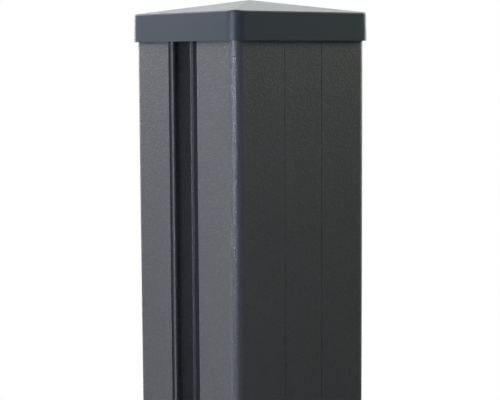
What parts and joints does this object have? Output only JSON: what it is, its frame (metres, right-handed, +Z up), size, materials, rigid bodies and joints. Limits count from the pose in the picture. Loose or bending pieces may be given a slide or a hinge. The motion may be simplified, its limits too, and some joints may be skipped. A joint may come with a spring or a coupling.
{
  "type": "metal fence post",
  "caption": "Square aluminium fence post with stepped grooves that take plug-in fence panels, flush cover strips over the unused grooves and a low pyramid cap.",
  "frame": {"origin": "centre of the post's lower end, on the surface it stands on", "axes": "+Z up along the post; the open panel grooves face -X and +X, the cover strips face -Y (front) and +Y (rear)"},
  "size_m": [0.0944, 0.0944, 1.9104],
  "materials": {
    "powder_coat": "satin",
    "cap_plastic": "satin"
  },
  "bodies": {
    "root": {"post_profile": "powder_coat", "cover_strip_front": "powder_coat", "cover_strip_rear": "powder_coat", "post_cap": "cap_plastic"}
  },
  "joints": []
}
